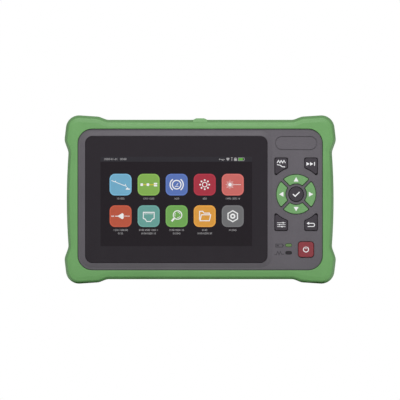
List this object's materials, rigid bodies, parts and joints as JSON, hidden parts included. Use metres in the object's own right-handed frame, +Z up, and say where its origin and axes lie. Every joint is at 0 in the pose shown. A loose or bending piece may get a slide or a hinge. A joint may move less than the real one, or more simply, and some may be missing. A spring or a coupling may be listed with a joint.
{
  "type": "optical time domain reflectometer",
  "caption": "Handheld fibre test set in a soft corner-bumper boot: touch display, ring keypad, top port flap, rear battery door and kickstand.",
  "frame": {"origin": "middle of the footprint, on the surface that the boot stands on", "axes": "+X to the right seen from the front, the display faces -Y, +Z up"},
  "size_m": [0.1952, 0.05, 0.1212],
  "materials": {
    "boot_green": "matte moulded rubber",
    "housing_grey": "fine textured plastic",
    "cover_black": "gloss, masked in black from behind",
    "display_panel": "lit panel",
    "key_dark": "satin silicone",
    "key_green": "satin silicone",
    "key_red": "satin silicone",
    "lamp_green": "clear lens, lit",
    "lamp_dark": "clear lens, unlit",
    "seal_rubber": "matte",
    "steel": "satin",
    "aluminium": "satin anodised",
    "nickel": "nickel plated",
    "gold_contact": "gold plated",
    "board_laminate": "lacquered laminate",
    "black_plastic": "satin",
    "lamp_chip": "clear resin",
    "ribbon": "amber film",
    "battery_wrap": "shrink film",
    "fibre_jacket": "smooth coating"
  },
  "bodies": {
    "case": {"bumper_boot": "boot_green", "front_housing": "housing_grey", "rear_housing": "housing_grey", "housing_seal": "seal_rubber", "cover_glass": "cover_black", "glass_gasket": "seal_rubber", "display_module": "display_panel", "display_bracket": "steel", "display_screws": "steel", "display_flex": "ribbon", "keypad_mat": "seal_rubber", "keypad_board": "board_laminate", "key_domes": "steel", "status_leds": "lamp_chip", "light_pipe_upper": "lamp_green", "light_pipe_lower": "lamp_dark", "main_board": "board_laminate", "board_screws": "steel", "processor_shield": "steel", "clock_cell": "steel", "buzzer": "black_plastic", "optical_module": "aluminium", "fibre_tray": "black_plastic", "fibre_coil": "fibre_jacket", "port_plate": "aluminium", "port_plate_screws": "steel", "port_board": "board_laminate", "charging_jack": "black_plastic", "charging_pin": "gold_contact", "usb_socket": "steel", "usb_tongue": "black_plastic", "network_jack_left": "black_plastic", "network_jack_right": "black_plastic", "network_contacts": "gold_contact", "otdr_adaptor": "nickel", "power_meter_adaptor": "nickel", "fault_locator_adaptor": "nickel", "power_meter_detector": "steel", "fault_locator_laser": "steel", "flap_hinge_pins": "steel", "battery_pack": "battery_wrap", "battery_contacts": "gold_contact", "case_screws": "steel", "kickstand_pins": "steel"},
    "key_upper_left": {"key_upper_left": "key_dark"},
    "key_upper_right": {"key_upper_right": "key_dark"},
    "key_lower_left": {"key_lower_left": "key_dark"},
    "key_lower_right": {"key_lower_right": "key_dark"},
    "arrow_key_up": {"arrow_key_up": "key_green"},
    "arrow_key_down": {"arrow_key_down": "key_green"},
    "arrow_key_left": {"arrow_key_left": "key_green"},
    "arrow_key_right": {"arrow_key_right": "key_green"},
    "centre_key": {"centre_key": "key_dark"},
    "power_key": {"power_key": "key_red"},
    "flap": {"port_flap": "boot_green", "port_flap_seal": "seal_rubber"},
    "door": {"battery_door": "housing_grey", "battery_door_seal": "seal_rubber", "battery_door_screws": "steel"},
    "stand": {"kickstand": "housing_grey"}
  },
  "joints": [
    {"name": "key_upper_left_push", "type": "slide", "parent": "case", "child": "key_upper_left", "axis": [0, 1, 0], "range_m": [0, 0.0007], "stiffness_N_per_m": 2000},
    {"name": "key_upper_right_push", "type": "slide", "parent": "case", "child": "key_upper_right", "axis": [0, 1, 0], "range_m": [0, 0.0007], "stiffness_N_per_m": 2000},
    {"name": "key_lower_left_push", "type": "slide", "parent": "case", "child": "key_lower_left", "axis": [0, 1, 0], "range_m": [0, 0.0007], "stiffness_N_per_m": 2000},
    {"name": "key_lower_right_push", "type": "slide", "parent": "case", "child": "key_lower_right", "axis": [0, 1, 0], "range_m": [0, 0.0007], "stiffness_N_per_m": 2000},
    {"name": "arrow_key_up_push", "type": "slide", "parent": "case", "child": "arrow_key_up", "axis": [0, 1, 0], "range_m": [0, 0.0007], "stiffness_N_per_m": 2000},
    {"name": "arrow_key_down_push", "type": "slide", "parent": "case", "child": "arrow_key_down", "axis": [0, 1, 0], "range_m": [0, 0.0007], "stiffness_N_per_m": 2000},
    {"name": "arrow_key_left_push", "type": "slide", "parent": "case", "child": "arrow_key_left", "axis": [0, 1, 0], "range_m": [0, 0.0007], "stiffness_N_per_m": 2000},
    {"name": "arrow_key_right_push", "type": "slide", "parent": "case", "child": "arrow_key_right", "axis": [0, 1, 0], "range_m": [0, 0.0007], "stiffness_N_per_m": 2000},
    {"name": "centre_key_push", "type": "slide", "parent": "case", "child": "centre_key", "axis": [0, 1, 0], "range_m": [0, 0.0007], "stiffness_N_per_m": 2000},
    {"name": "power_key_push", "type": "slide", "parent": "case", "child": "power_key", "axis": [0, 1, 0], "range_m": [0, 0.0007], "stiffness_N_per_m": 2000},
    {"name": "flap_hinge", "type": "hinge", "parent": "case", "child": "flap", "pos_m": [0, 0.016, 0.11606], "axis": [-1, 0, 0], "range_deg": [0, 100]},
    {"name": "stand_hinge", "type": "hinge", "parent": "case", "child": "stand", "pos_m": [0, 0.0217, 0.06356], "axis": [1, 0, 0], "range_deg": [0, 50]},
    {"name": "door_lift", "type": "slide", "parent": "case", "child": "door", "axis": [0, 1, 0], "range_m": [0, 0.04]}
  ]
}
